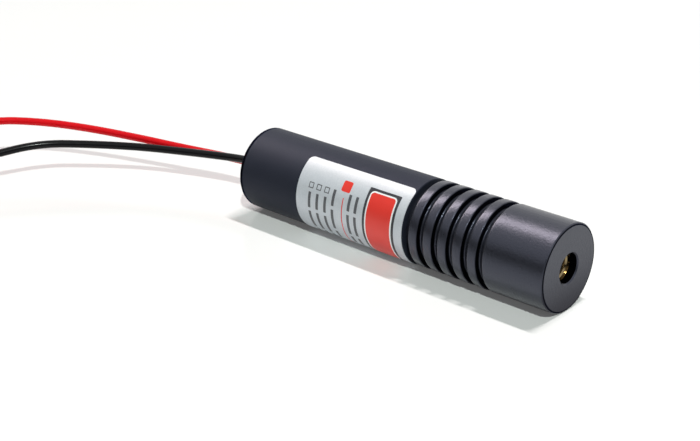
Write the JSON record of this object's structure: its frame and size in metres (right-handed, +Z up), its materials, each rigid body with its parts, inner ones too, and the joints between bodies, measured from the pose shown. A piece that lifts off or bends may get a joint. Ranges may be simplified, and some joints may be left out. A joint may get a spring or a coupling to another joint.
{
  "type": "laser diode module",
  "caption": "Collimated laser diode module: black anodised barrel with a finned heat-sink head and aperture, a rear tube with a foil sticker, and a red and a black lead wire.",
  "frame": {"origin": "on the surface that the barrel lies on, below the middle of the barrel", "axes": "+X along the beam and out of the aperture, +Z up, +Y to the left of the beam"},
  "size_m": [0.1353, 0.0682, 0.016],
  "materials": {
    "anodised_tube": "matte black anodised, bead blasted",
    "anodised_head": "satin black anodised, turned",
    "anodised_cap": "matte black anodised, turned",
    "grommet_rubber": "moulded black rubber",
    "label_foil": "silvery white foil sticker, semi-matte",
    "brass_block": "turned brass",
    "brass_cell": "turned brass",
    "brass_keeper": "turned brass",
    "brass_ring": "turned brass",
    "lens_glass": "coated optical glass",
    "window_glass": "clear window",
    "spring_steel": "drawn spring wire",
    "header_steel": "gold plated steel",
    "can_steel": "drawn nickel plated steel",
    "chip_crystal": "cleaved crystal",
    "gilt_pins": "gold plated pins",
    "liner_film": "amber insulating film",
    "board_laminate": "green solder mask on glass laminate",
    "package_plastic": "moulded black package",
    "trimmer_ceramic": "blue moulded body",
    "trimmer_steel": "stamped steel rotor",
    "capacitor_can": "drawn aluminium can",
    "resistor_ceramic": "black film on ceramic",
    "capacitor_ceramic": "tan ceramic",
    "tinned_copper": "tinned copper strands",
    "solder": "bright solder",
    "red_insulation": "red insulation, satin gloss",
    "black_insulation": "black insulation, satin gloss",
    "tie_nylon": "natural nylon"
  },
  "bodies": {
    "root": {"rear_tube": "anodised_tube", "heatsink_head": "anodised_head", "rear_cap": "anodised_cap", "cable_grommet": "grommet_rubber", "label": "label_foil", "diode_block": "brass_block", "lens_cell": "brass_cell", "collimating_lens": "lens_glass", "lens_keeper": "brass_keeper", "focus_spring": "spring_steel", "diode_header": "header_steel", "laser_chip": "chip_crystal", "diode_can": "can_steel", "diode_window": "window_glass", "diode_pins": "gilt_pins", "diode_ring": "brass_ring", "board_liner": "liner_film", "driver_board": "board_laminate", "driver_chip": "package_plastic", "power_transistor": "package_plastic", "trimmer_body": "trimmer_ceramic", "trimmer_rotor": "trimmer_steel", "filter_capacitor": "capacitor_can", "guard_rectifier": "package_plastic", "chip_resistors": "resistor_ceramic", "chip_capacitors": "capacitor_ceramic", "lead_cores": "tinned_copper", "solder_joints": "solder", "red_lead_inside": "red_insulation", "black_lead_inside": "black_insulation", "red_lead": "red_insulation", "black_lead": "black_insulation", "lead_coil": "black_insulation", "red_bare_end": "tinned_copper", "black_bare_end": "tinned_copper", "coil_tie": "tie_nylon"}
  },
  "joints": []
}
